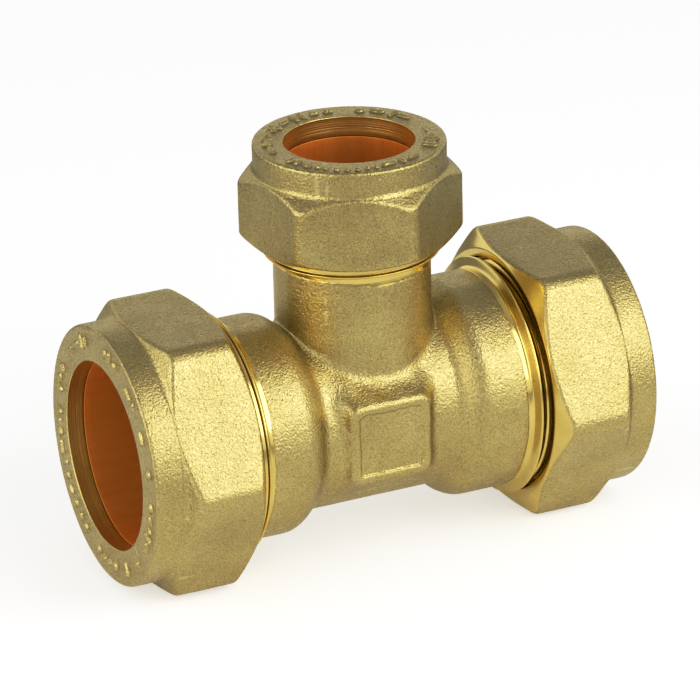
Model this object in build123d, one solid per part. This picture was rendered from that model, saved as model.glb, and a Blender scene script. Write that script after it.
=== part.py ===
from build123d import *
from build123d.topology import SkipClean
import math
import os
from dataclasses import dataclass

# Brass compression tee for copper tube, 22 mm along the run and 15 mm on the
# branch. Millimetres. The origin is where the run and branch axes cross, X runs
# along the run, Z up the branch, and the square pad faces -Y.
#
# Each port is drawn once in its own frame, s = distance out along the port's
# axis and r = radius, and is then turned into place, so every thread stays
# right-handed.

TUBE_CLEARANCE = 0.05      # radial room round the tube in the body's socket
PITCH = 1.5                # both threads, M28 x 1.5 and M20 x 1.5
THREAD_DEPTH = 0.8
THREAD_FLANK = 30.0        # degrees from square to the axis
THREAD_CREST_FLAT = 0.25
THREAD_ROOM = 0.15         # radial room between the two threads
THREAD_EMBED = 0.1         # how far a thread's root is sunk into its wall
MOUTH_ANGLE = 30.0         # degrees from the axis, the body's seat for the olive
FLASH_TRIM = 0.12          # depth of the flat left along the forging's parting line
JUNCTION_FILLET = 0.8      # where the branch leaves the run
EDGE_BREAK = 0.3
RELIEF_STEP = 0.3          # start of the threaded end, in the groove past the flange


@dataclass
class Port:
    """One end of the tee, with its nut and olive."""

    tube_d: float            # outside diameter of the tube it takes
    neck_r: float            # forged barrel behind the flange
    neck_end: float          # where forging ends and turning begins
    flange_r: float
    flange_start: float
    flange_end: float
    thread_r: float          # outside thread, over its crests
    thread_start: float
    body_end: float
    mouth_r: float
    stop: float              # shoulder that the tube butts against
    waterway_r: float        # bore past the tube stop
    olive_start: float
    olive_end: float
    olive_edge: float        # wall at the olive's thin ends
    olive_wall: float        # wall along its middle
    olive_taper: float       # length of each conical end
    nut_start: float
    nut_end: float
    nut_flats: float         # across flats
    nut_corner_fillet: float
    nut_face_r: float        # where the inner chamfer meets the inner face
    chamfer_angle: float     # inner chamfer, degrees from the axis
    shoulder_angle: float    # forged shoulder, degrees from the axis
    collar_r: float
    collar_start: float
    lip: float               # length of the plain bore at the nut's outer face
    lip_step_r: float        # the bore steps out to this past the lip

    @property
    def socket_r(self):
        return self.tube_d / 2 + TUBE_CLEARANCE

    @property
    def olive_r(self):
        return self.socket_r + 0.02

    @property
    def nut_bore_r(self):
        return self.socket_r + 0.05

    @property
    def thread_root_r(self):
        return self.thread_r - THREAD_DEPTH

    @property
    def nut_thread_root_r(self):
        return self.thread_r + THREAD_ROOM

    @property
    def nut_thread_crest_r(self):
        return self.nut_thread_root_r - THREAD_DEPTH


RUN = Port(
    tube_d=22.0, neck_r=13.05, neck_end=16.4, flange_r=14.3, flange_start=17.4,
    flange_end=17.6, thread_r=13.95, thread_start=18.9, body_end=22.5, mouth_r=12.3,
    stop=11.0, waterway_r=9.6, olive_start=22.0, olive_end=29.8, olive_edge=0.35,
    olive_wall=1.25, olive_taper=2.2, nut_start=18.55, nut_end=32.0, nut_flats=31.0,
    nut_corner_fillet=2.5, nut_face_r=15.05, chamfer_angle=60.0, shoulder_angle=58.0,
    collar_r=15.4, collar_start=28.5, lip=2.1, lip_step_r=11.6)

BRANCH = Port(
    tube_d=15.0, neck_r=9.17, neck_end=19.0, flange_r=10.35, flange_start=19.95,
    flange_end=20.1, thread_r=9.95, thread_start=21.3, body_end=23.7, mouth_r=8.5,
    stop=13.0, waterway_r=6.4, olive_start=23.6, olive_end=30.5, olive_edge=0.28,
    olive_wall=1.15, olive_taper=2.0, nut_start=21.0, nut_end=33.0, nut_flats=23.0,
    nut_corner_fillet=2.0, nut_face_r=11.05, chamfer_angle=62.0, shoulder_angle=50.0,
    collar_r=11.2, collar_start=29.9, lip=2.4, lip_step_r=8.0)

# The run's middle is thinner than its ends.
WAIST_R = 11.0
WAIST_HALF = 8.4
WAIST_FOOT_FILLET = 0.9
SHOULDER_ANGLE = 45.0      # degrees from the run's axis
SHOULDER_ROUND = 2.4

# A square pad stands on the front of the waist. Its sides lean in towards its
# face, and a shallow recess leaves a raised frame round the face.
PAD_CENTRE_X = -0.9
PAD_CENTRE_Z = -0.05
PAD_FACE_Y = -11.95
PAD_WIDTH = 10.0
PAD_HEIGHT = 9.5
PAD_CORNER = 1.5
PAD_DRAFT = 26.0           # degrees
PAD_DEPTH = 4.5
PAD_EDGE = 0.3
RECESS_DEPTH = 0.25
RECESS_MARGIN = 1.05

# How far each nut has been turned on: the angle of a hexagon corner, counted
# from the port's local X axis.
NUT_CLOCK = {"left": 28.3, "right": 34.0, "branch": 38.0}


def turned(points):
    """Revolve a closed (r, s) outline about the port's axis."""
    outline = Polyline(*[(r, 0, s) for r, s in points], close=True)
    return revolve(make_face(outline), Axis.Z, 360)


def thread_ridge(root_r, crest_r, start, length):
    """One right-hand helical ridge on a wall at root_r, towards crest_r."""
    outward = math.copysign(1, crest_r - root_r)
    slope = math.tan(math.radians(THREAD_FLANK))
    crest_half = THREAD_CREST_FLAT / 2
    foot_half = crest_half + (THREAD_DEPTH + THREAD_EMBED) * slope
    foot_r = root_r - outward * THREAD_EMBED
    outline = Polyline((foot_r, 0, -foot_half), (crest_r, 0, -crest_half),
                       (crest_r, 0, crest_half), (foot_r, 0, foot_half), close=True)
    path = Helix(pitch=PITCH, height=length, radius=root_r)
    return Pos(0, 0, start) * sweep(make_face(outline), path=path, is_frenet=True)


def cut_ends(ridge, wall_r, outward, start, end):
    """Cut a ridge's ends to a 45 degree lead-in that meets its wall at start and end."""
    under = THREAD_DEPTH / 2
    over = THREAD_DEPTH + EDGE_BREAK
    base = wall_r - outward * under
    tip = wall_r + outward * over
    room = turned([(base, start - under), (tip, start + over),
                   (tip, end - over), (base, end + under)])
    return ridge & room


def outside_thread(port):
    """The body's threaded end past its flange, with the seat for the olive in its mouth."""
    core = port.thread_root_r
    over = THREAD_DEPTH + EDGE_BREAK
    start = port.flange_end + RELIEF_STEP
    length = port.body_end - port.thread_start + 2 * PITCH
    ridge = thread_ridge(core, port.thread_r, port.thread_start - PITCH, length)
    blank = turned([(0, start - 1), (core, start - 1),
                    (core, port.body_end + 1), (0, port.body_end + 1)])
    blank += ridge
    room = turned([(0, start), (core, start), (core, port.thread_start),
                   (core + over, port.thread_start + over),
                   (core + over, port.body_end - EDGE_BREAK - over),
                   (core - EDGE_BREAK, port.body_end), (0, port.body_end)])
    seat = turned([(0, start - 1), (port.socket_r, start - 1),
                   (port.socket_r, port.body_end - seat_depth(port)),
                   (port.mouth_r, port.body_end), (port.mouth_r, port.body_end + 1),
                   (0, port.body_end + 1)])
    return (blank & room) - seat


def inside_thread(port, thread_end):
    """The nut's thread, half a pitch away from the body's."""
    turns_back = math.ceil((port.thread_start - port.nut_start) / PITCH) + 1
    start = port.thread_start - (turns_back + 0.5) * PITCH
    length = thread_end - start + PITCH
    ridge = thread_ridge(port.nut_thread_root_r, port.nut_thread_crest_r, start, length)
    return cut_ends(ridge, port.nut_thread_root_r, -1, port.nut_start + EDGE_BREAK, thread_end)


def seat_depth(port):
    """How deep the olive's conical seat goes into the mouth."""
    return (port.mouth_r - port.socket_r) / math.tan(math.radians(MOUTH_ANGLE))


def forged_outline(port, half_waist=None):
    """(r, s) from the tee's centre out to where the turning begins."""
    if half_waist is None:
        return [(port.neck_r, 0), (port.neck_r, port.neck_end)]
    rise = port.neck_r - WAIST_R
    shoulder_end = half_waist + rise / math.tan(math.radians(SHOULDER_ANGLE))
    return [(WAIST_R, 0), (WAIST_R, half_waist), (port.neck_r, shoulder_end),
            (port.neck_r, port.neck_end)]


def turned_outline(port):
    """(r, s) of the machined end, as far as the first of the groove behind the thread."""
    return [(port.flange_r - EDGE_BREAK / 3, port.flange_start - EDGE_BREAK / 3),
            (port.flange_r, port.flange_start), (port.flange_r, port.flange_end),
            (port.thread_root_r, port.flange_end),
            (port.thread_root_r, port.flange_end + RELIEF_STEP)]


def along_run(shape):
    """Turn a shape drawn about Z so that it lies about X."""
    return Rot(0, 90, 0) * shape


def run_skin():
    half = forged_outline(RUN, WAIST_HALF) + turned_outline(RUN)
    far = [(r, -s) for r, s in reversed(half[1:])]
    end = half[-1][1]
    skin = turned([(0, -end)] + far + half[1:] + [(0, end)])
    feet = [e for e in skin.edges().filter_by(GeomType.CIRCLE)
            if abs(e.radius - WAIST_R) < 0.01]
    crests = [e for e in skin.edges().filter_by(GeomType.CIRCLE)
              if abs(e.radius - RUN.neck_r) < 0.01 and abs(e.center().Z) < RUN.neck_end - 1]
    skin = fillet(crests, SHOULDER_ROUND)
    feet = [e for e in skin.edges().filter_by(GeomType.CIRCLE)
            if abs(e.radius - WAIST_R) < 0.01]
    skin = fillet(feet, WAIST_FOOT_FILLET)
    return along_run(skin)


def branch_skin():
    outline = forged_outline(BRANCH) + turned_outline(BRANCH)
    return turned([(0, 0)] + outline + [(0, outline[-1][1])])


def parting_prism():
    """The tee's outline seen along Y, drawn in by the trimmed flash."""
    room = 1.0
    ends = [(RUN.neck_end, RUN.flange_r + room), (RUN.body_end + room, RUN.flange_r + room)]
    under = [(s, r - FLASH_TRIM) for r, s in forged_outline(RUN, WAIST_HALF)] + ends
    over = [(RUN.neck_end, RUN.neck_r - FLASH_TRIM)] + ends
    top = [(-x, z) for x, z in reversed(over)] + over
    lower = [(x, -z) for x, z in reversed(under)] + [(-x, -z) for x, z in under[1:]]
    run_face = make_face(Polyline(*[(x, 0, z) for x, z in top + lower], close=True))
    b = BRANCH.neck_r - FLASH_TRIM
    wide = BRANCH.flange_r + room
    outline = [(-b, 0), (-b, BRANCH.neck_end), (-wide, BRANCH.neck_end),
               (-wide, BRANCH.body_end + room), (wide, BRANCH.body_end + room),
               (wide, BRANCH.neck_end), (b, BRANCH.neck_end), (b, 0)]
    branch_face = make_face(Polyline(*[(x, 0, z) for x, z in outline], close=True))
    depth = 2 * RUN.flange_r
    prism = extrude(run_face, depth, (0, 1, 0), both=True)
    prism += extrude(branch_face, depth, (0, 1, 0), both=True)
    corners = [e for e in prism.edges().filter_by(Axis.Y)
               if abs(abs(e.center().X) - b) < 0.01 and RUN.neck_r - 3 < e.center().Z < RUN.neck_r + 1]
    return fillet(corners, JUNCTION_FILLET + FLASH_TRIM)


def pad():
    """The square pad, its sides spreading out as they go back into the waist."""
    face = Plane(origin=(PAD_CENTRE_X, PAD_FACE_Y, PAD_CENTRE_Z),
                 x_dir=(1, 0, 0), z_dir=(0, 1, 0))
    outline = face * RectangleRounded(PAD_WIDTH, PAD_HEIGHT, PAD_CORNER)
    block = extrude(outline, PAD_DEPTH, taper=-PAD_DRAFT)
    front = block.faces().sort_by(Axis.Y)[0]
    return fillet(front.edges(), PAD_EDGE)


def pad_recess():
    face = Plane(origin=(PAD_CENTRE_X, PAD_FACE_Y, PAD_CENTRE_Z),
                 x_dir=(1, 0, 0), z_dir=(0, 1, 0))
    outline = RectangleRounded(PAD_WIDTH - 2 * RECESS_MARGIN, PAD_HEIGHT - 2 * RECESS_MARGIN,
                               PAD_CORNER - RECESS_MARGIN)
    return extrude(face * outline, RECESS_DEPTH, both=True)


def port_bore(port):
    """What is bored out of one port: waterway, tube stop and tube socket."""
    return turned([(0, 0), (port.waterway_r, 0), (port.waterway_r, port.stop),
                   (port.socket_r, port.stop), (port.socket_r, port.body_end + 1),
                   (0, port.body_end + 1)])


# The ports' own frames in the tee: local Z points out of the port.
PLACE = {"left": Rot(0, -90, 0), "right": Rot(0, 90, 0), "branch": Rot(0, 0, 0)}
SIZE = {"left": RUN, "right": RUN, "branch": BRANCH}


def tee_body():
    run = run_skin()
    branch = branch_skin()
    skin = run + branch
    skin = fillet(new_edges(run, branch, combined=skin), JUNCTION_FILLET)
    skin += pad()
    skin &= parting_prism()
    skin -= pad_recess()
    for side, port in SIZE.items():
        skin -= PLACE[side] * port_bore(port)
    # Helical faces are kept as they are: merging neighbours can spoil them.
    with SkipClean():
        for side, port in SIZE.items():
            skin += PLACE[side] * outside_thread(port)
    return skin


def nut(port, clock):
    """Compression nut: hexagon, forged shoulder, round collar, inside thread."""
    chamfer = math.tan(math.radians(port.chamfer_angle))
    shoulder = math.tan(math.radians(port.shoulder_angle))
    corner_r = port.nut_flats / math.sqrt(3)
    envelope = turned([
        (0, port.nut_start), (port.nut_face_r, port.nut_start),
        (corner_r, port.nut_start + (corner_r - port.nut_face_r) / chamfer),
        (corner_r, port.collar_start - (corner_r - port.collar_r) / shoulder),
        (port.collar_r, port.collar_start), (port.collar_r, port.nut_end - EDGE_BREAK),
        (port.collar_r - EDGE_BREAK, port.nut_end), (0, port.nut_end)])
    hexagon = RegularPolygon(radius=port.nut_flats / 2, side_count=6, major_radius=False)
    hexagon = fillet(hexagon.vertices(), port.nut_corner_fillet)
    prism = Pos(0, 0, port.nut_start) * extrude(Rot(0, 0, clock) * hexagon,
                                                port.collar_start - port.nut_start)
    collar = turned([(0, port.nut_start + 1), (port.collar_r, port.nut_start + 1),
                     (port.collar_r, port.nut_end), (0, port.nut_end)])
    blank = (prism + collar) & envelope

    lip_start = port.nut_end - port.lip
    thread_end = lip_start - (port.nut_thread_root_r - port.lip_step_r)
    hollow = turned([
        (0, port.nut_start - 1), (port.nut_thread_root_r + EDGE_BREAK / 2, port.nut_start - 1),
        (port.nut_thread_root_r + EDGE_BREAK / 2, port.nut_start),
        (port.nut_thread_root_r, port.nut_start + EDGE_BREAK / 2),
        (port.nut_thread_root_r, thread_end), (port.lip_step_r, lip_start),
        (port.nut_bore_r, lip_start), (port.nut_bore_r, port.nut_end + 1),
        (0, port.nut_end + 1)])
    with SkipClean():
        return blank - hollow + inside_thread(port, thread_end)


def olive(port):
    """Copper ring that the nut squeezes onto the tube."""
    inner = port.olive_r
    edge = inner + port.olive_edge
    middle = inner + port.olive_wall
    return turned([(inner, port.olive_start), (edge, port.olive_start),
                   (middle, port.olive_start + port.olive_taper),
                   (middle, port.olive_end - port.olive_taper),
                   (edge, port.olive_end), (inner, port.olive_end)])


def main():
    os.makedirs("parts", exist_ok=True)
    nodes = {"tee_body": tee_body()}
    for side, port in SIZE.items():
        nodes[f"nut_{side}"] = PLACE[side] * nut(port, NUT_CLOCK[side])
        nodes[f"olive_{side}"] = PLACE[side] * olive(port)
    for name, shape in nodes.items():
        export_step(shape, f"parts/{name}.step")
        print(name, shape.is_valid, len(shape.solids()), round(shape.volume, 1))


if __name__ == "__main__":
    main()
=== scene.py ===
import math

import bpy
import numpy as np
import openvdb as vdb
from mathutils import Matrix, Vector


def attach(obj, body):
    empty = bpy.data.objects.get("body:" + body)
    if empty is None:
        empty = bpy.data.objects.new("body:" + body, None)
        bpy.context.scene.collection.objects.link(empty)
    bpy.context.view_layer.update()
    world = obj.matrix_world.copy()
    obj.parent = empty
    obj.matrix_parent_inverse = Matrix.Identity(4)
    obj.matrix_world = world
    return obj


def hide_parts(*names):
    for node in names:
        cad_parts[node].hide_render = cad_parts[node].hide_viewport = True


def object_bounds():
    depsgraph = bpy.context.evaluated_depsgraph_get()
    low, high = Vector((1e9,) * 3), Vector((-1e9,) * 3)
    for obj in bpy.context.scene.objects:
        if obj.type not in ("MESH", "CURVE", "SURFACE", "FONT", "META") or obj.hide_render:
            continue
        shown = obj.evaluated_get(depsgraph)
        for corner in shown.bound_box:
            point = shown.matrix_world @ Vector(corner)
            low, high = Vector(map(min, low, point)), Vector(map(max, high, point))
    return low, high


# A brass compression tee. The forging, the nuts and the olives are rebuilt here
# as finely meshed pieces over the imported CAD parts, with soft forged edges, raised
# marks and threads. The shapes are worked out in millimetres, and each port is
# drawn in its own frame: s outwards along its axis, r the radius, and the angle
# counted from the port's own X axis. Materials, modifiers, lamps and the floor are
# in metres.

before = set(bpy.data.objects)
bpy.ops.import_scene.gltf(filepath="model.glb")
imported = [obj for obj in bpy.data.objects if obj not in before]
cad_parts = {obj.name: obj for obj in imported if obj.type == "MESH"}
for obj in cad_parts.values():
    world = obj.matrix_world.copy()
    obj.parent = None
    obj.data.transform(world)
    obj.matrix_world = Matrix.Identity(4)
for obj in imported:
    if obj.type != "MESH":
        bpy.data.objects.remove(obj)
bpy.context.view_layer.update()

MM = 0.001
TURNS = 510                  # steps round a nut or a turned end
OLIVE_TURNS = TURNS // 2
ROUNDING_STEPS = 5           # faces across a rounded corner
CORNER_SHARE = 0.45          # most of a straight run that one rounded corner may take
ROWS_PER_PITCH = 10
CLOSE = 1e-6
SHARP = 0.05                 # radius of a machined edge

PITCH = 1.5
THREAD_DEPTH = 0.8
THREAD_CREST = 0.25
THREAD_FLANK = math.radians(30)
NUT_ROOT = 0.15              # how far a nut's thread root clears the crests inside it

# The sizes of a port. Names that end in start or end, and stop, are places along its
# axis. The angles, in degrees, are chamfer and shoulder. flats is across the hexagon,
# corner is its corners' radius, and lip and olive_taper are lengths along the axis.
# olive_edge and olive_wall are how far the olive's ends and middle stand out from its
# bore, and the rest are radii.
RUN = dict(
    neck=13.05, neck_end=16.4,
    flange=14.3, flange_start=17.4, flange_end=17.6,
    thread=13.95, thread_start=18.9, end=22.5,
    mouth=12.3, socket=11.05, stop=11.0, waterway=9.6,
    nut_start=18.55, nut_end=32.0, flats=31.0, corner=2.5,
    face=15.05, chamfer=60.0, shoulder=58.0, collar=15.4, collar_start=28.5,
    lip=2.1, lip_step=11.6, bore=11.1, mark_ring=13.35,
    olive=11.07, olive_start=22.0, olive_end=29.8,
    olive_edge=0.35, olive_wall=1.25, olive_taper=2.2)
BRANCH = dict(
    neck=9.17, neck_end=19.0,
    flange=10.35, flange_start=19.95, flange_end=20.1,
    thread=9.95, thread_start=21.3, end=23.7,
    mouth=8.5, socket=7.55, stop=13.0, waterway=6.4,
    nut_start=21.0, nut_end=33.0, flats=23.0, corner=2.0,
    face=11.05, chamfer=62.0, shoulder=50.0, collar=11.2, collar_start=29.9,
    lip=2.4, lip_step=8.0, bore=7.6, mark_ring=9.45,
    olive=7.57, olive_start=23.6, olive_end=30.5,
    olive_edge=0.28, olive_wall=1.15, olive_taper=2.0)
PORTS = {"left": dict(RUN, nut_start=18.4), "right": RUN, "branch": BRANCH}
TURN = {"left": Matrix.Rotation(math.radians(-90), 3, "Y"),
        "right": Matrix.Rotation(math.radians(90), 3, "Y"),
        "branch": Matrix.Identity(3)}
NUT_CLOCK = {"left": 28.3, "right": 34.0, "branch": 38.0}    # each hexagon's angle, degrees

# A turned end: its neck, which starts inside the forging and lies just under the
# forged one, then its flange, and after it a step and a cone, or the cone alone.
BURIED = 0.75
TURNED_NECK_DEPTH = 0.06
TURNED_NECK_OVERLAP = 0.3
TURNED_NECK_LENGTH = 0.45
FLANGE_FLARE = 0.1
CREST_BACK = 0.08
SEAT_ANGLE = math.radians(30)
LEAD_IN = 0.3                # how far before its start a thread begins to rise
LEAD_OUT = 0.2
STEPPED = ("left", "branch")
STEP_OUT = 0.07              # how far the step stands out from the thread's crests
STEP_START = 0.15
STEP_END = 0.70
STEPPED_CONE_END = 1.05
PLAIN_CONE_END = 0.70

# The forging.
VOXEL = 0.2
SKIN_LOW = np.array([-17.2, -13.9, -13.9])                   # just past its skin
SKIN_HIGH = np.array([17.2, 13.9, 19.8])
WAIST = 11.0
WAIST_HALF = 8.7
WAIST_BLEND = 0.7
SHOULDER_SLOPE = math.tan(math.radians(45))
SHOULDER_BLEND = 1.4
RUN_DROP = 0.1               # how far the forged run lies below its machined ends
SKEW = 0.8                   # how far its underside is shifted to the left
SKEW_TOP = 5.0
SKEW_HEIGHT = 15.0
JUNCTION = 0.75
FLASH_TRIM = 0.12
FLASH_BLEND = 0.12
END_BLEND = 0.1
LINING_GAP = 0.3             # how far the skin stays outside the turned ends' sockets

# The square pad on its front, with the recess in it.
PAD_X = -0.95
PAD_Z = -0.05
PAD_FACE_Y = -11.95
PAD_ROOT_Y = -6.5
PAD_HALF_WIDTH = 5.0
PAD_HALF_HEIGHT = 4.75
PAD_CORNER = 1.25
PAD_EDGE = 0.45
PAD_BLEND = 0.9
PAD_SPREAD = math.tan(math.radians(26))
PAD_TOP_SPREAD = 0.14        # how much more its top side spreads
PAD_TOP_START = 3.5
PAD_TOP_HEIGHT = 1.5
RECESS_MARGIN = 1.05
RECESS_DEPTH = 0.27
RECESS_BLEND = 0.35
RECESS_CORNER = 0.7          # how much its corners shrink for each unit of margin
HAND_DRESSED = (0.05, 0.07)  # unevenness of the pad's sides and of its recess

# Where the lathe just touched the branch's neck, on one side below its flange.
GRAZE_AZIMUTH = math.radians(18)
GRAZE_LOW = 18.15
GRAZE_RISE = 1.0
GRAZE_CLEAR = 0.05
GRAZE_LEAN = 0.15
GRAZE_LEAST = 0.01           # a cut less deep than this doesn't show
GRAZE_SKIN = 0.3
BORED_SKIN = 0.1             # how far outside a waterway its faces still count as it

# The raised marks on a nut's face, and the tool grooves in its mouth.
MARK_SIZES = ((0.55, 0.60), (0.28, 0.90), (0.90, 0.28), (0.28, 0.90), (0.60, 0.28),
              (0.26, 0.60))                                  # half lengths, half widths
MARK_HEIGHT = 0.28
MARK_EDGE = 0.16
MARK_GAP = (0.40, 0.75)
MARKS_FROM = 0.3             # the angles that the ring of marks runs between
MARKS_TO = 2 * math.pi - 0.1
WIDE_GAP = 2.2
WIDE_GAP_CHANCE = 0.22
FACE_MARGIN = 0.4            # bare band between a nut's bore and anything raised
SKIN_MARGIN = 0.5            # and between its bore and the unevenness of its skin
MOUTH_CHAMFER = 0.12
MOUTH_CHAMFER_WIDTH = 0.1
GROOVE_DEPTH = 0.05
GROOVE_WIDTH = 0.27
GROOVE_FADE = (0.4, 0.5)     # the grooves' bare end at the step, and their fade
NUT_LEAD_IN = 0.6

# The material slots of a piece that has more than one.
FORGED_SLOT, TURNED_SLOT, BORED_SLOT = range(3)
UNEVEN_SIZE = 0.0022         # of the slow unevenness of a forged skin, in metres


# ---------------------------------------------------------------- meshes

def add_mesh(name, points, quads, materials, slots):
    """A smooth-shaded object from points in metres, with a material slot for each quad."""
    mesh = bpy.data.meshes.new(name)
    mesh.vertices.add(len(points))
    mesh.vertices.foreach_set("co", np.asarray(points, dtype=np.float32).ravel())
    mesh.loops.add(4 * len(quads))
    mesh.loops.foreach_set("vertex_index", np.asarray(quads, dtype=np.int32).ravel())
    mesh.polygons.add(len(quads))
    mesh.polygons.foreach_set("loop_start", np.arange(0, 4 * len(quads), 4, dtype=np.int32))
    for material in materials:
        mesh.materials.append(material)
    mesh.polygons.foreach_set("material_index", np.asarray(slots, dtype=np.int32))
    mesh.update(calc_edges=True)
    mesh.validate()
    mesh.polygons.foreach_set("use_smooth", [True] * len(mesh.polygons))
    piece = bpy.data.objects.new(name, mesh)
    bpy.context.scene.collection.objects.link(piece)
    return piece


def angles(columns):
    return np.arange(columns) * 2 * math.pi / columns


def place(points, side):
    """Points in a port's frame, in millimetres, to the object's frame in metres."""
    turn = np.array(TURN[side])
    return points @ turn.T * MM


def rounded(corners, columns):
    """A closed outline at each angle, with each corner rounded by its own radius.

    corners is a list of (r, s, radius, samples, slot). r and s are numbers, or arrays
    with one value for each column. samples is how many extra points the straight run
    after the corner gets. slot is the material of the faces from that corner on, and
    is left out where the piece has one material.
    """
    flat = np.ones(columns)
    places = [np.stack([corner[0] * flat, corner[1] * flat], axis=-1) for corner in corners]
    points = []
    slots = []
    for i, (_, _, radius, samples, *slot) in enumerate(corners):
        after = (i + 1) % len(corners)
        here = places[i]
        to_before = places[i - 1] - here
        to_after = places[after] - here
        len_before = np.linalg.norm(to_before, axis=-1, keepdims=True)
        len_after = np.linalg.norm(to_after, axis=-1, keepdims=True)
        to_before = to_before / len_before
        to_after = to_after / len_after
        reach = np.minimum(radius, CORNER_SHARE * np.minimum(len_before, len_after))
        start = here + to_before * reach
        end = here + to_after * reach
        for k in range(ROUNDING_STEPS + 1):
            t = k / ROUNDING_STEPS
            points.append(start * (1 - t) ** 2 + here * 2 * t * (1 - t) + end * t * t)
        next_reach = np.minimum(corners[after][2], CORNER_SHARE * len_after)
        stop = places[after] - to_after * next_reach
        for k in range(1, samples + 1):
            t = k / (samples + 1)
            points.append(end * (1 - t) + stop * t)
        slots += [slot[0] if slot else 0] * (ROUNDING_STEPS + 1 + samples)
    return np.stack(points), np.array(slots)


def ring_mesh(name, outline, slots, materials, side):
    """A closed ring from an outline given at every angle: outline[k, angle] = (r, s)."""
    rows, columns = outline.shape[:2]
    angle = angles(columns)
    x = outline[..., 0] * np.cos(angle)
    y = outline[..., 0] * np.sin(angle)
    points = np.stack([x, y, outline[..., 1]], axis=-1).reshape(-1, 3)
    k, c = np.meshgrid(np.arange(rows), np.arange(columns), indexing="ij")
    k2 = (k + 1) % rows
    c2 = (c + 1) % columns
    quads = np.stack([k * columns + c, k * columns + c2, k2 * columns + c2,
                      k2 * columns + c], axis=-1).reshape(-1, 4)
    return add_mesh(name, place(points, side), quads, materials, np.repeat(slots, columns))


def smooth_step(x):
    x = np.clip(x, 0, 1)
    return x * x * (3 - 2 * x)


def smooth_min(a, b, k):
    h = np.clip(0.5 + 0.5 * (b - a) / k, 0, 1)
    return b * (1 - h) + a * h - k * h * (1 - h)


def smooth_max(a, b, k):
    return -smooth_min(-a, -b, k)


def hexagon(angle, clock, flats, corner):
    """Radius of a hexagon with rounded corners at each angle."""
    sixth = math.pi / 3
    half = sixth / 2
    off = (angle - math.radians(clock)) % sixth
    off = np.minimum(off, sixth - off)
    centre = (flats / 2 - corner) / math.cos(half)
    edge = math.atan2(corner * math.sin(half), centre + corner * math.cos(half))
    flat = flats / 2 / np.cos(half - off)
    bend = np.clip(corner ** 2 - (centre * np.sin(off)) ** 2, 0, None)
    return np.where(off < edge, centre * np.cos(off) + np.sqrt(bend), flat)


def ridge(angle, s, start, low, high):
    """0 to 1: how far a right-hand thread's ridge stands at each angle and s.

    The ridge crosses angle 0 at start, and fades in past low and out before high.
    """
    crest = THREAD_CREST / 2
    foot = crest + THREAD_DEPTH * math.tan(THREAD_FLANK)
    turn = (s - start) / PITCH - angle / (2 * math.pi)
    off = np.abs((turn + 0.5) % 1.0 - 0.5) * PITCH
    height = np.clip((foot - off) / (foot - crest), 0, 1)
    fade_in = np.clip((s - low) / THREAD_DEPTH, 0, 1)
    fade_out = np.clip((high - s) / THREAD_DEPTH, 0, 1)
    return height * fade_in * fade_out


def raised_marks(angle, r, ring, seed):
    """Plain raised pips, bars and dashes in a ring on a nut's face, 0 to 1."""
    rng = np.random.default_rng(seed)
    height = np.zeros(np.broadcast(angle, r).shape)
    at = MARKS_FROM
    while at < MARKS_TO:
        half_long, half_wide = MARK_SIZES[rng.integers(0, len(MARK_SIZES))]
        centre = at + half_long / ring
        away = (angle - centre + math.pi) % (2 * math.pi) - math.pi
        radius = min(half_long, half_wide)
        along = np.maximum(np.abs(away) * ring - half_long + radius, 0)
        across = np.maximum(np.abs(r - ring) - half_wide + radius, 0)
        inside = radius - np.hypot(along, across)
        height = np.maximum(height, smooth_step(inside / MARK_EDGE + 0.5))
        at += (2 * half_long + rng.uniform(*MARK_GAP)) / ring
        if rng.random() < WIDE_GAP_CHANCE:
            at += WIDE_GAP / ring
    return height


# --------------------------------------------------------------- forging

def run_radius(x, z):
    """The forging's radius along the run. Its underside is a little out of true."""
    low = np.clip((SKEW_TOP - z) / SKEW_HEIGHT, 0, 1)
    off = np.abs(x + SKEW * low) - WAIST_HALF + 0.5 * SKEW * low
    slope = WAIST + off * SHOULDER_SLOPE
    return smooth_min(smooth_max(slope, WAIST, WAIST_BLEND), RUN["neck"], SHOULDER_BLEND)


def rounded_square(x, z, margin):
    """Signed distance to the pad's outline, drawn in by a margin."""
    corner = PAD_CORNER - RECESS_CORNER * margin
    across = np.abs(x - PAD_X) - PAD_HALF_WIDTH + margin + corner
    up = np.abs(z - PAD_Z) - PAD_HALF_HEIGHT + margin + corner
    outside = np.sqrt(np.maximum(across, 0) ** 2 + np.maximum(up, 0) ** 2)
    return outside + np.minimum(np.maximum(across, up), 0) - corner


def pad(x, y, z):
    """Signed distance to the square pad, which spreads out towards the waist."""
    depth = y - PAD_FACE_Y
    waves = np.sin(2.3 * x + 1.1 * z) * np.sin(1.9 * z - 0.7 * x + 1)
    top = smooth_step((z - PAD_Z - PAD_TOP_START) / PAD_TOP_HEIGHT)
    spread = PAD_SPREAD + PAD_TOP_SPREAD * top
    steepness = 0.88         # turns a distance in the pad's plane into one to its side
    outline = rounded_square(x, z, 0) + HAND_DRESSED[0] * waves
    side = (outline - spread * depth) * steepness
    return np.maximum(smooth_max(side, -depth, PAD_EDGE), y - PAD_ROOT_Y)


def pad_recess(x, y, z):
    """Signed distance to the shallow recess in the pad's face."""
    waves = np.sin(2.9 * x - 1.3 * z + 2) * np.sin(2.2 * z + 1.7 * x)
    outline = rounded_square(x, z, RECESS_MARGIN) + HAND_DRESSED[1] * waves
    return np.maximum(outline, y - PAD_FACE_Y - RECESS_DEPTH)


def graze(x, y):
    """The radius that the lathe cut the branch's neck to, and how far down it cut."""
    towards = x * math.sin(GRAZE_AZIMUTH) - y * math.cos(GRAZE_AZIMUTH)
    lean = towards / np.sqrt(x * x + y * y + 1)
    return BRANCH["neck"] + GRAZE_CLEAR - GRAZE_LEAN * lean, GRAZE_LOW + GRAZE_RISE * (1 - lean)


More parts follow.
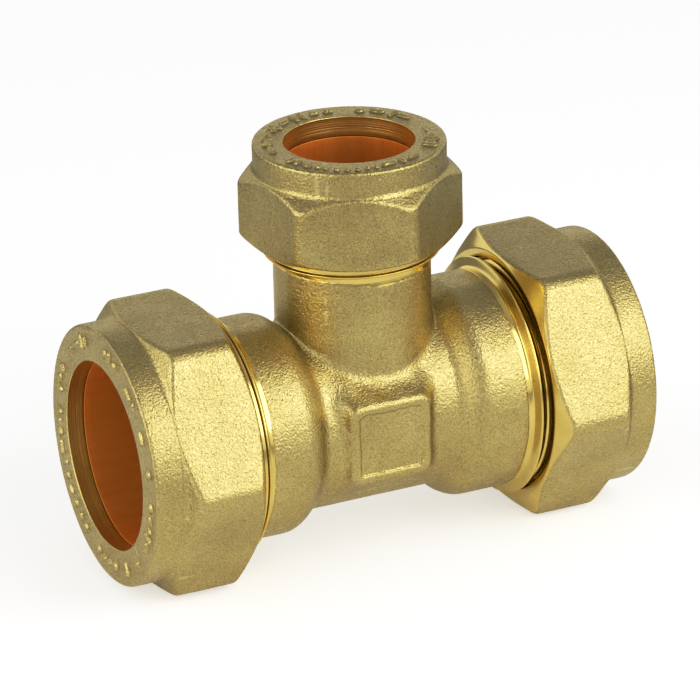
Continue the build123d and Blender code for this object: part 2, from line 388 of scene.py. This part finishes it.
def hollow(across, along, port):
    """Signed distance to a port's waterway and tube socket."""
    socket = port["socket"] + LINING_GAP
    return across - np.where(along < port["stop"], port["waterway"], socket)


def forging():
    """The tee's forged skin as points and quads, in millimetres."""
    steps = np.ceil((SKIN_HIGH - SKIN_LOW) / VOXEL).astype(int)
    x = (SKIN_LOW[0] + VOXEL * np.arange(steps[0]))[:, None, None]
    y = (SKIN_LOW[1] + VOXEL * np.arange(steps[1]))[None, :, None]
    z = (SKIN_LOW[2] + VOXEL * np.arange(steps[2]))[None, None, :]
    from_branch = np.sqrt(x * x + y * y)
    along = run_radius(x, z)
    steepness = 0.85         # turns a radial distance into one to the sloping shoulders
    run = (np.sqrt(y * y + (z + RUN_DROP) ** 2) - along) * steepness
    branch = np.maximum(from_branch - BRANCH["neck"], -z)
    skin = smooth_min(run, branch, JUNCTION)
    skin = smooth_min(skin, pad(x, y, z), PAD_BLEND)
    outline = smooth_min(np.abs(z + RUN_DROP) - along,
                         np.maximum(np.abs(x) - BRANCH["neck"], -z), JUNCTION)
    skin = smooth_max(skin, outline + FLASH_TRIM, FLASH_BLEND)
    skin = smooth_max(skin, -pad_recess(x, y, z), RECESS_BLEND)
    graze_r, graze_z = graze(x, y)
    skin = np.maximum(skin, np.minimum(from_branch - graze_r, z - graze_z))
    skin = smooth_max(skin, np.abs(x) - RUN["neck_end"], END_BLEND)
    skin = smooth_max(skin, z - BRANCH["neck_end"], END_BLEND)
    run_hollow = hollow(np.sqrt(y * y + z * z), np.abs(x), RUN)
    branch_hollow = np.maximum(hollow(from_branch, z, BRANCH), -z)
    skin = np.maximum(skin, -np.minimum(run_hollow, branch_hollow))
    grid = vdb.FloatGrid(10.0)
    grid.copyFromArray(np.ascontiguousarray(skin.astype(np.float32)))
    points, quads = grid.convertToQuads(isovalue=0.0)
    return points * VOXEL + SKIN_LOW, quads[:, ::-1]


# ------------------------------------------------------------- materials

class Graph:
    """Short names for building a material's nodes."""

    def __init__(self, name):
        self.material = bpy.data.materials.new(name)
        self.material.use_nodes = True
        self.tree = self.material.node_tree
        self.shader = self.tree.nodes["Principled BSDF"]
        coords = self.tree.nodes.new("ShaderNodeTexCoord")
        self.coords = coords.outputs["Object"]

    def node(self, kind, values=None, **settings):
        made = self.tree.nodes.new("ShaderNode" + kind)
        for key, value in settings.items():
            setattr(made, key, value)
        for key, value in (values or {}).items():
            if isinstance(value, bpy.types.NodeSocket):
                self.tree.links.new(value, made.inputs[key])
            else:
                made.inputs[key].default_value = value
        return made

    def noise(self, scale, detail, roughness, where=None):
        values = {"Vector": self.coords if where is None else where, "Scale": scale,
                  "Detail": detail, "Roughness": roughness}
        return self.node("TexNoise", values).outputs["Fac"]

    def ramp(self, fac, stops):
        made = self.node("ValToRGB", {"Fac": fac})
        elements = made.color_ramp.elements
        while len(elements) < len(stops):
            elements.new(0.5)
        for element, (position, colour) in zip(elements, stops):
            element.position = position
            element.color = (*colour, 1.0)
        return made.outputs["Color"]

    def remap(self, value, from_low, from_high, to_low, to_high):
        made = self.node("MapRange", {"Value": value, "From Min": from_low, "From Max": from_high,
                                      "To Min": to_low, "To Max": to_high})
        return made.outputs["Result"]

    def math(self, operation, a, b=0.0):
        return self.node("Math", {0: a, 1: b}, operation=operation).outputs[0]

    def mix(self, kind, fac, a, b):
        made = self.node("Mix", data_type="RGBA", blend_type=kind)
        sockets = [s for s in made.inputs if s.enabled]
        for socket, value in zip(sockets, (fac, a, b)):
            if isinstance(value, bpy.types.NodeSocket):
                self.tree.links.new(value, socket)
            elif isinstance(value, tuple):
                socket.default_value = (*value, 1.0)
            else:
                socket.default_value = value
        return [s for s in made.outputs if s.enabled][0]

    def bump(self, height, strength, distance, normal=None):
        values = {"Height": height, "Strength": strength, "Distance": distance}
        if normal is not None:
            values["Normal"] = normal
        return self.node("Bump", values).outputs["Normal"]

    def set(self, name, value):
        if isinstance(value, bpy.types.NodeSocket):
            self.tree.links.new(value, self.shader.inputs[name])
        else:
            self.shader.inputs[name].default_value = value


def blasted_brass(name, wear_low, wear_high):
    """Forged brass after shot blasting: fine grit, mottling, pits and rubbed corners.

    wear_low and wear_high are the Pointiness at which the rubbing starts and is full.
    """
    g = Graph(name)
    mottle = g.noise(160.0, 4.0, 0.6)
    grain = g.noise(5200.0, 2.0, 0.6)
    patches = g.noise(900.0, 3.0, 0.6)
    colour = g.ramp(mottle, [(0.30, (0.550, 0.456, 0.206)), (0.55, (0.605, 0.507, 0.238)),
                             (0.75, (0.650, 0.554, 0.273))])
    specks = g.ramp(grain, [(0.34, (0.75, 0.73, 0.70)), (0.50, (1, 1, 1)),
                            (0.66, (1.15, 1.15, 1.12))])
    colour = g.mix("MULTIPLY", 0.9, colour, specks)
    corners = g.node("NewGeometry").outputs["Pointiness"]
    wear = g.math("MULTIPLY", g.remap(corners, wear_low, wear_high, 0.0, 1.0),
                  g.remap(mottle, 0.35, 0.65, 0.45, 1.0))
    g.set("Base Color", g.mix("MIX", wear, colour, (0.80, 0.68, 0.36)))
    g.set("Metallic", 1.0)
    g.set("Roughness", g.remap(patches, 0.3, 0.7, 0.25, 0.35))
    craters = g.node("TexVoronoi", {"Vector": g.coords, "Scale": 3300.0}, feature="SMOOTH_F1")
    fine = g.bump(craters.outputs["Distance"], 0.6, 0.00008)
    fine = g.bump(grain, 0.75, 0.00009, fine)
    fine = g.bump(g.noise(2600.0, 2.0, 0.5), 0.25, 0.00006, fine)
    g.set("Normal", g.bump(g.noise(1000.0, 2.0, 0.5), 0.10, 0.00005, fine))
    return g.material


def turned_brass(name, axis, line_depth, roughness_low, roughness_high):
    """Bright brass from a lathe, with tool lines round its axis ("X" or "Z")."""
    g = Graph(name)
    split = g.node("SeparateXYZ", {"Vector": g.coords})
    squares = [g.math("POWER", split.outputs[a], 2.0) for a in "XYZ" if a != axis]
    radius = g.math("SQRT", g.math("ADD", *squares))
    line = g.node("CombineXYZ", {"X": g.math("ADD", split.outputs[axis], radius)})
    lines = g.noise(7000.0, 2.0, 0.7, line.outputs[0])
    mottle = g.noise(260.0, 3.0, 0.6)
    g.set("Base Color", g.ramp(mottle, [(0.3, (0.77, 0.61, 0.215)), (0.7, (0.87, 0.71, 0.280))]))
    g.set("Metallic", 1.0)
    g.set("Roughness", g.remap(lines, 0.3, 0.7, roughness_low, roughness_high))
    g.set("Normal", g.bump(lines, 0.5, line_depth))
    return g.material


def satin_copper(name, axis):
    """Satin copper, faintly streaked along its bore's axis ("X" or "Z")."""
    g = Graph(name)
    stretch = tuple(0.04 if a == axis else 1.0 for a in "XYZ")
    drawn = g.node("VectorMath", {0: g.coords, 1: stretch}, operation="MULTIPLY").outputs[0]
    streaks = g.noise(700.0, 3.0, 0.6, drawn)
    g.set("Base Color", g.ramp(streaks, [(0.35, (0.95, 0.46, 0.085)), (0.52, (1.0, 0.49, 0.100)),
                                         (0.68, (1.0, 0.54, 0.125))]))
    g.set("Metallic", 1.0)
    g.set("Roughness", 0.58)
    g.set("Normal", g.bump(streaks, 0.15, 0.00002))
    return g.material


def for_each_port(make, name, *values):
    """A material for both run ends, whose axis is X, and one for the branch, Z."""
    run = make(name + "_run", "X", *values)
    return {"left": run, "right": run, "branch": make(name + "_branch", "Z", *values)}


# The body's skin is meshed from voxels, so its Pointiness is noisier than a nut's.
FORGED = blasted_brass("forged_brass", wear_low=0.54, wear_high=0.62)
BODY = blasted_brass("forged_body_brass", wear_low=0.62, wear_high=0.72)
TURNED = for_each_port(turned_brass, "turned_brass", 0.000004, 0.12, 0.22)
BORED = for_each_port(turned_brass, "bored_brass", 0.00009, 0.24, 0.40)
COPPER = for_each_port(satin_copper, "copper")


# ---------------------------------------------------------------- pieces

def roughen(piece, strength, group=""):
    """Slow unevenness of a forged skin, of this strength in metres."""
    texture = bpy.data.textures.new(piece.name + "_uneven", "CLOUDS")
    texture.noise_scale = UNEVEN_SIZE
    texture.noise_depth = 1
    change = piece.modifiers.new("uneven", "DISPLACE")
    change.texture = texture
    change.texture_coords = "LOCAL"
    change.strength = strength
    change.mid_level = 0.5
    change.vertex_group = group


def nut_corners(port, hexa, root, lip_start, thread_end):
    """The corners of a nut's section, from its inner face round to its thread."""
    start = port["nut_start"]
    end = port["nut_end"]
    chamfer = (hexa - port["face"]) / math.tan(math.radians(port["chamfer"]))
    shoulder = (hexa - port["collar"]) / math.tan(math.radians(port["shoulder"]))
    thread_rows = int((thread_end - start) / PITCH * ROWS_PER_PITCH)
    return [
        (root, start, 0.12, 1, TURNED_SLOT),
        (port["face"], start, 0.15, 3, TURNED_SLOT),
        (hexa, start + chamfer, 0.3, 7, FORGED_SLOT),
        (hexa, port["collar_start"] - shoulder, 0.45, 3, FORGED_SLOT),
        (port["collar"], port["collar_start"], 0.5, 3, FORGED_SLOT),
        (port["collar"], end, 0.4, 32, FORGED_SLOT),
        (port["bore"] + MOUTH_CHAMFER_WIDTH, end, SHARP, 0, FORGED_SLOT),
        (port["bore"], end - MOUTH_CHAMFER, SHARP, 14, BORED_SLOT),
        (port["bore"], lip_start, SHARP, 1, TURNED_SLOT),
        (port["lip_step"], lip_start, SHARP, 3, TURNED_SLOT),
        (root, thread_end, 0.1, thread_rows, TURNED_SLOT),
    ]


def make_nut(side):
    """A forged nut with raised marks on its face, a grooved mouth and a thread."""
    port = PORTS[side]
    angle = angles(TURNS)
    hexa = hexagon(angle, NUT_CLOCK[side], port["flats"], port["corner"])
    root = port["thread"] + NUT_ROOT
    lip_start = port["nut_end"] - port["lip"]
    thread_end = lip_start - (root - port["lip_step"])
    outline, slots = rounded(nut_corners(port, hexa, root, lip_start, thread_end), TURNS)
    r, s = outline[..., 0], outline[..., 1]

    face = (s > port["nut_end"] - CLOSE) & (r > port["bore"] + FACE_MARGIN)
    marks = raised_marks(angle, r, port["mark_ring"], sum(map(ord, side)))
    s += np.where(face, MARK_HEIGHT * marks, 0)

    mouth = np.abs(r - port["bore"]) < CLOSE
    depth_in = port["nut_end"] - MOUTH_CHAMFER - s
    grooves = GROOVE_DEPTH * np.sin(math.pi * depth_in / GROOVE_WIDTH) ** 2
    bare, fade = GROOVE_FADE
    r += np.where(mouth, grooves * smooth_step((s - lip_start - bare) / fade), 0)

    threaded = np.abs(r - root) < CLOSE
    half_a_pitch_back = port["thread_start"] - PITCH / 2
    thread = ridge(angle, s, half_a_pitch_back, port["nut_start"] + NUT_LEAD_IN, thread_end)
    r -= np.where(threaded, THREAD_DEPTH * thread, 0)

    nut = ring_mesh("compression_nut_" + side, outline, slots,
                    [FORGED, TURNED[side], BORED[side]], side)
    forged = (slots[:, None] == FORGED_SLOT) & (r > port["bore"] + SKIN_MARGIN)
    group = nut.vertex_groups.new(name="forged")
    group.add(np.nonzero(forged.ravel())[0].tolist(), 1.0, "REPLACE")
    roughen(nut, 0.00003, group.name)
    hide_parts("nut_" + side)
    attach(nut, side + "_nut")


def make_turned_end(side):
    """A port's machined end, which starts inside the forging: flange, thread and socket."""
    port = PORTS[side]
    core = port["thread"] - THREAD_DEPTH
    seat = port["end"] - (port["mouth"] - port["socket"]) / math.tan(SEAT_ANGLE)
    crest_end = port["flange_end"] - CREST_BACK
    if side in STEPPED:
        step_r = port["thread"] + STEP_OUT
        step = [(step_r, crest_end + STEP_START, SHARP, 3),
                (step_r, crest_end + STEP_END, SHARP, 0)]
        relief = crest_end + STEPPED_CONE_END
    else:
        step = []
        relief = crest_end + PLAIN_CONE_END
    thread_rows = int((port["end"] - relief) / PITCH * ROWS_PER_PITCH)
    buried = port["neck"] - BURIED
    neck = port["neck"] - TURNED_NECK_DEPTH
    neck_start = port["neck_end"] - TURNED_NECK_OVERLAP
    outline, slots = rounded([
        (buried, port["stop"], SHARP, 1),
        (buried, neck_start, SHARP, 0),
        (neck, neck_start, 0.02, 0),
        (neck, port["neck_end"] + TURNED_NECK_LENGTH, 0.5, 2),
        (port["flange"] - 0.02, port["flange_start"] - FLANGE_FLARE, 0.2, 1),
        (port["flange"], crest_end, 0.12, 3),
        *step,
        (core, relief, 0.15, thread_rows),
        (core, port["end"], 0.15, 1),
        (port["mouth"], port["end"], SHARP, 2),
        (port["socket"], seat, SHARP, 4),
        (port["socket"], port["stop"], SHARP, 1),
    ], TURNS)
    r, s = outline[..., 0], outline[..., 1]
    threaded = np.abs(r - core) < CLOSE
    thread = ridge(angles(TURNS), s, port["thread_start"], port["thread_start"] - LEAD_IN,
                   port["end"] - LEAD_OUT)
    r += np.where(threaded, THREAD_DEPTH * thread, 0)
    piece = ring_mesh("turned_end_" + side, outline, slots, [TURNED[side]], side)
    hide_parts("tee_body")
    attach(piece, "tee")


def make_forging():
    """The body's forged skin, with its waterways and the grazed side of its branch."""
    points, quads = forging()
    x, y, z = points[quads].mean(axis=1).T
    graze_r, graze_z = graze(x, y)
    out = np.hypot(x, y)
    grazed = (z > graze_z) & (graze_r < BRANCH["neck"] - GRAZE_LEAST)
    grazed &= out > graze_r - GRAZE_SKIN
    bored = np.hypot(y, z) < RUN["waterway"] + BORED_SKIN
    bored |= (out < BRANCH["waterway"] + BORED_SKIN) & (z > 0)
    slots = np.where(bored, BORED_SLOT, np.where(grazed, TURNED_SLOT, FORGED_SLOT))
    piece = add_mesh("tee_forging", points * MM, quads, [BODY, TURNED["branch"], BORED["left"]],
                     slots)
    roughen(piece, 0.00005)
    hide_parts("tee_body")
    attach(piece, "tee")


def make_olive(side):
    """A copper ring with a cone at each end."""
    port = PORTS[side]
    inner = port["olive"]
    edge = inner + port["olive_edge"]
    middle = inner + port["olive_wall"]
    low = port["olive_start"]
    high = port["olive_end"]
    taper = port["olive_taper"]
    outline, slots = rounded([
        (inner, low, 0.08, 0),
        (edge, low, 0.12, 2),
        (middle, low + taper, 0.4, 4),
        (middle, high - taper, 0.4, 2),
        (edge, high, 0.12, 0),
        (inner, high, 0.08, 8),
    ], OLIVE_TURNS)
    piece = ring_mesh("copper_olive_" + side, outline, slots, [COPPER[side]], side)
    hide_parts("olive_" + side)
    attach(piece, side + "_olive")


make_forging()
for side in PORTS:
    make_turned_end(side)
    make_nut(side)
    make_olive(side)


# ------------------------------------------------- floor, lights, camera

FLOOR_HALF = 3.0
FLOOR_GAP = 0.0002
FLOOR_GLOW = 0.47
# A pool of light painted on the floor round the part, seen only in reflections: its glow, its
# middle, where it starts to fade and where it ends.
LIGHT_POOL_GLOW = 0.17
LIGHT_POOL_MIDDLE = (-0.012, 0.005, 0.0)
LIGHT_POOL_REACH = 0.090
LIGHT_POOL_END = 0.150
SKY = ((0.25, 0.84), (0.60, 0.29), (0.86, 0.30), (0.96, 0.50))    # (height, brightness)
CONTRAST = ((0.22, 0.165), (0.36, 0.34), (0.60, 0.65), (0.80, 0.855))    # (before, after)

# The camera: where it stands, in degrees and millimetres, and its lens.
AZIMUTH = -25.143
ELEVATION = 23.355
ROLL = math.radians(-1.326)
DISTANCE = 559.80
TARGET = Vector((-0.742, 0.0, 4.131))
SENSOR = 36.0
LENS = 246.2
SHIFT = (0.0021, 0.0306)
CLIP = (0.01, 20.0)


def direction(azimuth, elevation):
    """The way out from the part, in degrees: 0, 0 is its front and 0, 90 straight up."""
    azimuth = math.radians(azimuth)
    elevation = math.radians(elevation)
    return Vector((math.sin(azimuth) * math.cos(elevation),
                   -math.cos(azimuth) * math.cos(elevation), math.sin(elevation)))


def floor_material():
    """A white floor for the camera. What reflects it sees painted light: a glowing pool of light
    round the part, which fades to a greyer room further out.
    """
    g = Graph("pale_floor")
    middle = g.node("VectorMath", {0: g.coords, 1: LIGHT_POOL_MIDDLE}, operation="SUBTRACT")
    flat = g.node("VectorMath", {0: middle.outputs[0], 1: (1, 1, 0)}, operation="MULTIPLY")
    away = g.node("VectorMath", {0: flat.outputs[0]}, operation="LENGTH").outputs["Value"]
    seen = g.node("LightPath").outputs["Is Camera Ray"]
    # Painted light: to reflections the floor glows and is lighter near the part, and is darker
    # grey further out. The camera sees it evenly white.
    past = g.remap(away, LIGHT_POOL_REACH, LIGHT_POOL_END, 0.0, 1.0)
    painted_light_pool = g.ramp(past, [(0.0, (0.80, 0.80, 0.80)), (1.0, (0.40, 0.40, 0.40))])
    g.set("Base Color", g.mix("MIX", seen, painted_light_pool, (0.82, 0.82, 0.82)))
    g.set("Roughness", 0.9)
    g.set("Emission Color", (1.0, 1.0, 1.0, 1.0))
    glow = g.math("SUBTRACT", LIGHT_POOL_GLOW, g.math("MULTIPLY", past, LIGHT_POOL_GLOW))
    g.set("Emission Strength", g.math("MAXIMUM", glow, g.math("MULTIPLY", seen, FLOOR_GLOW)))
    return g.material


def add_floor():
    """A square floor just under the part."""
    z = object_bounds()[0][2] - FLOOR_GAP
    mesh = bpy.data.meshes.new("floor")
    corners = [(-FLOOR_HALF, -FLOOR_HALF, z), (FLOOR_HALF, -FLOOR_HALF, z),
               (FLOOR_HALF, FLOOR_HALF, z), (-FLOOR_HALF, FLOOR_HALF, z)]
    mesh.from_pydata(corners, [], [(0, 1, 2, 3)])
    mesh.materials.append(floor_material())
    floor = bpy.data.objects.new("floor", mesh)
    bpy.context.scene.collection.objects.link(floor)


def add_sky():
    """A room that is bright low down, grey higher up and a little brighter overhead."""
    world = bpy.data.worlds.new("studio")
    bpy.context.scene.world = world
    world.use_nodes = True
    tree = world.node_tree
    coords = tree.nodes.new("ShaderNodeTexCoord")
    height = tree.nodes.new("ShaderNodeSeparateXYZ")
    tree.links.new(coords.outputs["Generated"], height.inputs[0])
    sky = tree.nodes.new("ShaderNodeValToRGB")
    tree.links.new(height.outputs["Z"], sky.inputs["Fac"])
    while len(sky.color_ramp.elements) < len(SKY):
        sky.color_ramp.elements.new(0.5)
    for element, (z, brightness) in zip(sky.color_ramp.elements, SKY):
        element.position = z
        element.color = (brightness, brightness, brightness, 1)
    tree.links.new(sky.outputs["Color"], tree.nodes["Background"].inputs["Color"])


def area_light(name, azimuth, elevation, distance, size, radiance):
    """A square softbox that faces the part's middle."""
    data = bpy.data.lights.new(name, "AREA")
    data.shape = "SQUARE"
    data.size = size
    data.energy = radiance * math.pi * size ** 2
    lamp = bpy.data.objects.new(name, data)
    toward = direction(azimuth, elevation)
    lamp.location = toward * distance
    lamp.rotation_euler = toward.to_track_quat("Z", "Y").to_euler()
    lamp.visible_camera = False
    bpy.context.scene.collection.objects.link(lamp)


def add_camera():
    """A long lens, from the front left and above."""
    back = direction(AZIMUTH, ELEVATION)
    right = (-back).cross(Vector((0, 0, 1))).normalized()
    up = right.cross(-back)
    rolled_right = math.cos(ROLL) * right + math.sin(ROLL) * up
    rolled_up = -math.sin(ROLL) * right + math.cos(ROLL) * up
    data = bpy.data.cameras.new("camera")
    data.sensor_width = SENSOR
    data.lens = LENS
    data.shift_x, data.shift_y = SHIFT
    data.clip_start, data.clip_end = CLIP
    camera = bpy.data.objects.new("camera", data)
    facing = Matrix((rolled_right, rolled_up, back)).transposed().to_4x4()
    camera.matrix_world = Matrix.Translation((TARGET + back * DISTANCE) * MM) @ facing
    bpy.context.scene.collection.objects.link(camera)
    bpy.context.scene.camera = camera


def set_contrast():
    view = bpy.context.scene.view_settings
    view.view_transform = "Standard"
    view.use_curve_mapping = True
    combined = view.curve_mapping.curves[3]
    for before, after in CONTRAST:
        combined.points.new(before, after)
    view.curve_mapping.update()


add_floor()
add_sky()
area_light("key", azimuth=30, elevation=36, distance=0.36, size=0.29, radiance=1.88)
area_light("side", azimuth=-84, elevation=22, distance=0.60, size=0.54, radiance=1.20)
add_camera()
set_contrast()
